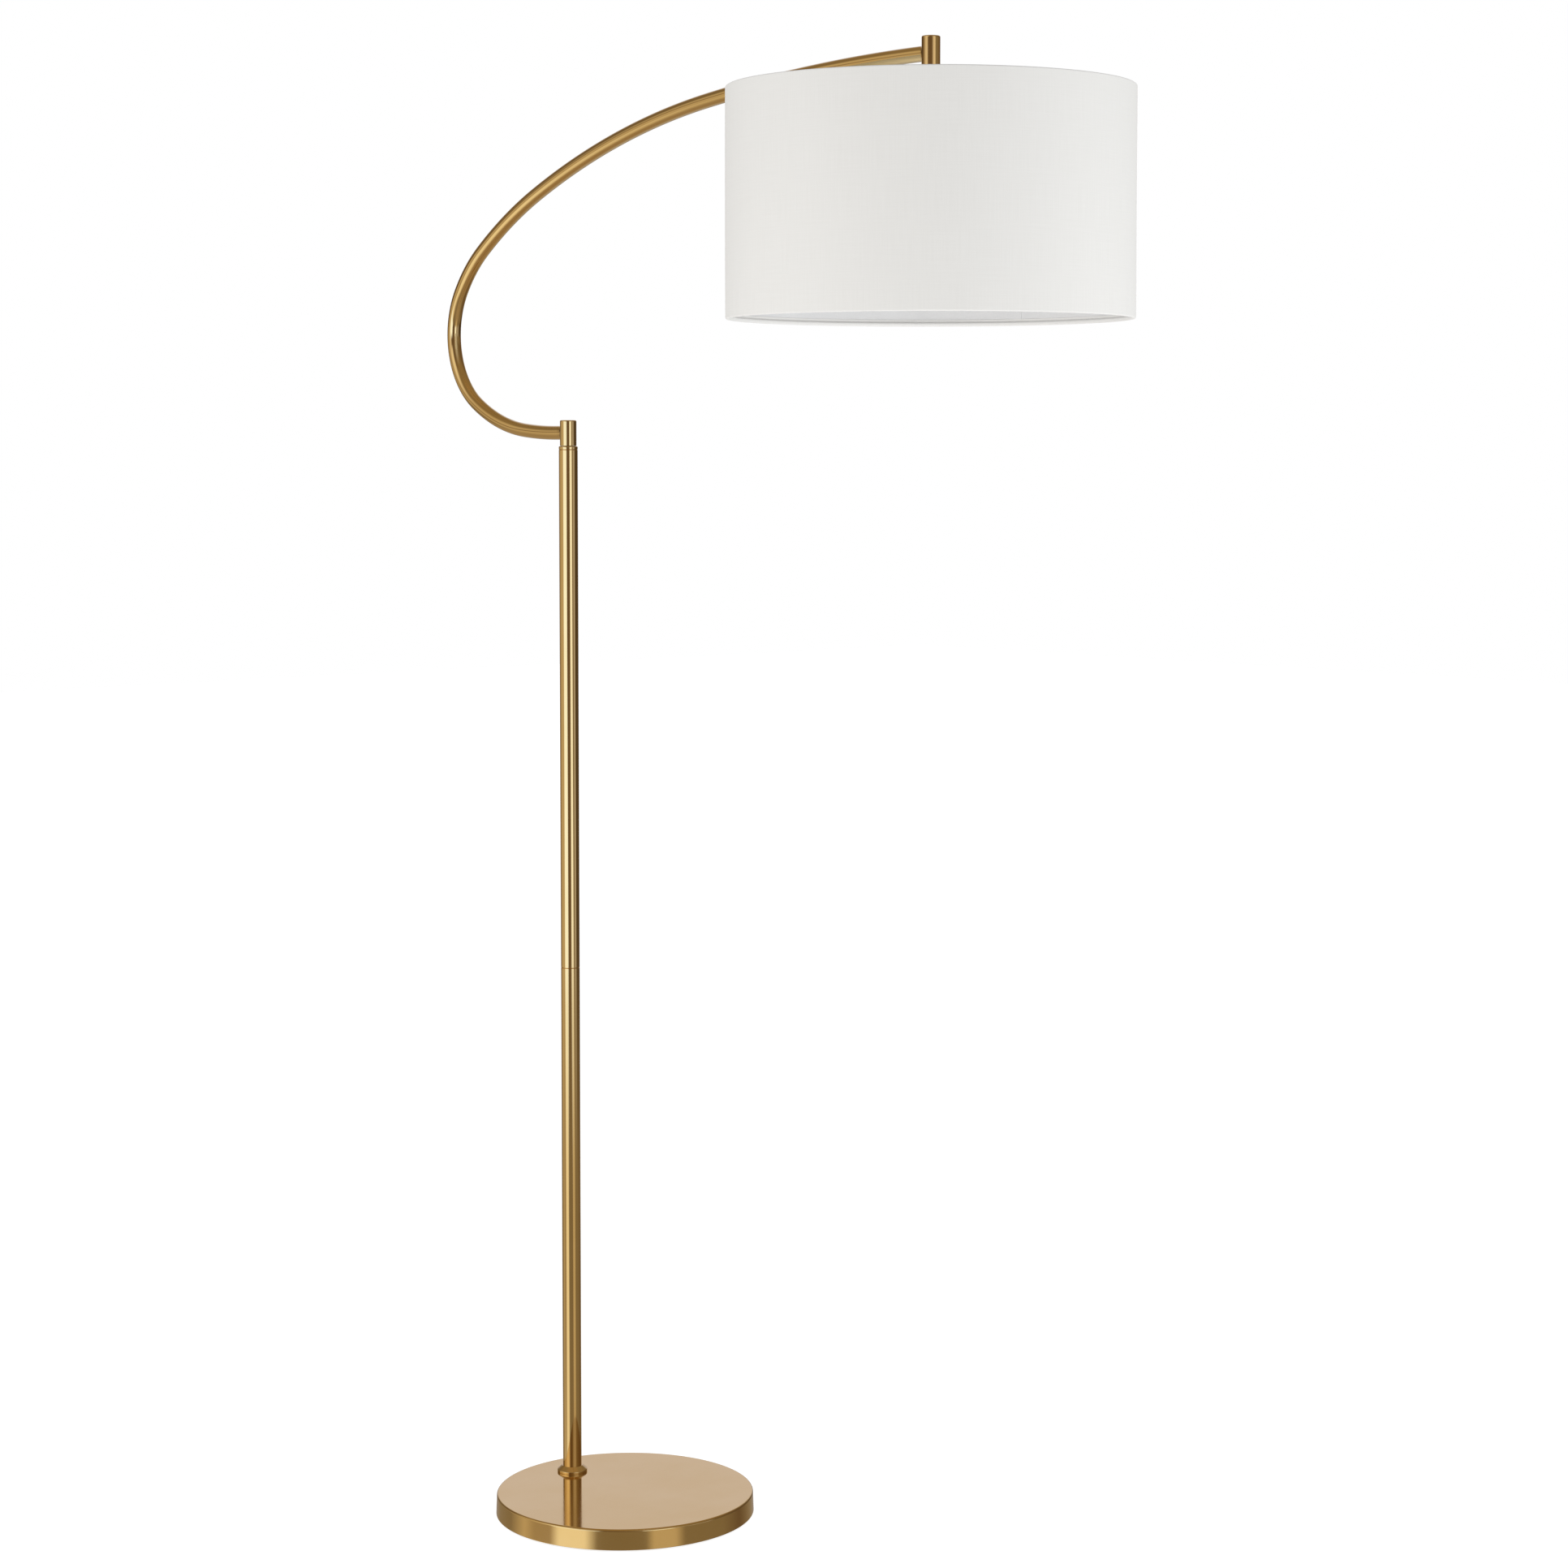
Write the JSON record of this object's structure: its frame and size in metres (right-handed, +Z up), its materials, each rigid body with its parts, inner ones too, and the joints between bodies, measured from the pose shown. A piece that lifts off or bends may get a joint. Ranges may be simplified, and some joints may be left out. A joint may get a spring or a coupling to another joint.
{
  "type": "arc floor lamp",
  "caption": "Floor lamp with a weighted round base, an off-centre pole, a swan-neck arm that swivels on the pole, and a drum shade hanging from the arm's end.",
  "frame": {"origin": "centre of the base's underside, on the floor", "axes": "+X from the origin towards the shade, in the plane of the pole, arm and shade axis; +Z up"},
  "size_m": [0.9893, 0.3992, 1.5664],
  "materials": {
    "polished_brass": "polished, lightly toned, clear lacquer",
    "raw_brass": "machined",
    "zinc_steel": "zinc plated",
    "iron_weight": "black painted casting",
    "pad_foam": "closed-cell foam sheet",
    "black_rubber": "moulded",
    "nylon": "dark nylon",
    "flex_sheath": "PVC",
    "phenolic": "moulded phenolic",
    "opal_glass": "opal white",
    "bulb_aluminium": "rolled thread",
    "shade_linen": "off-white plain weave",
    "shade_lining": "matt white styrene sheet",
    "white_wire": "white powder coat"
  },
  "bodies": {
    "stand": {"base_cover": "polished_brass", "base_weight": "iron_weight", "base_pad": "pad_foam", "cable_inlet_grommet": "black_rubber", "base_washer": "zinc_steel", "base_nut": "zinc_steel", "base_pipe": "zinc_steel", "pole_flange": "polished_brass", "lower_pole": "polished_brass", "pole_foot_bush": "raw_brass", "lower_pole_bush": "raw_brass", "pole_joiner": "zinc_steel", "upper_pole_bush": "raw_brass", "upper_pole": "polished_brass", "pole_top_bush": "raw_brass", "pole_top_ring": "polished_brass", "swivel_stud": "zinc_steel", "swivel_washer": "nylon", "pole_flex": "flex_sheath"},
    "arm": {"arm_knuckle": "polished_brass", "knuckle_set_screw": "zinc_steel", "arm_tube": "polished_brass", "arm_end_fitting": "polished_brass", "end_pipe": "zinc_steel", "arm_flex": "flex_sheath", "lampholder_cap": "phenolic", "cap_locknut": "zinc_steel", "switch_block": "phenolic", "lampholder_body": "phenolic", "lampholder_screw_shell": "raw_brass", "lampholder_contact": "raw_brass", "shade_clamp_ring": "phenolic"},
    "shade": {"shade_fabric": "shade_linen", "shade_liner": "shade_lining", "shade_top_wire": "white_wire", "shade_bottom_wire": "white_wire", "shade_top_hem": "shade_linen", "shade_bottom_hem": "shade_linen", "shade_hub": "white_wire", "shade_spoke_1": "white_wire", "shade_spoke_2": "white_wire", "shade_spoke_3": "white_wire"},
    "bulb": {"bulb_glass": "opal_glass", "bulb_cap": "bulb_aluminium", "bulb_insulator": "phenolic", "bulb_contact": "raw_brass"},
    "switch": {"switch_knob": "phenolic", "switch_shaft": "zinc_steel"}
  },
  "joints": [
    {"name": "arm_swivel", "type": "hinge", "parent": "stand", "child": "arm", "pos_m": [-0.094, 0, 1.1712], "axis": [0, 0, 1], "range_deg": [-90, 90]},
    {"name": "shade_turn", "type": "hinge", "parent": "arm", "child": "shade", "pos_m": [0.4774, 0, 1.508], "axis": [0, 0, 1], "continuous": true},
    {"name": "bulb_removal", "type": "slide", "parent": "arm", "child": "bulb", "axis": [0, 0, -1], "range_m": [0, 0.22]},
    {"name": "switch_turn", "type": "hinge", "parent": "arm", "child": "switch", "pos_m": [0.4774, 0.028, 1.5195], "axis": [0, 1, 0], "continuous": true}
  ]
}
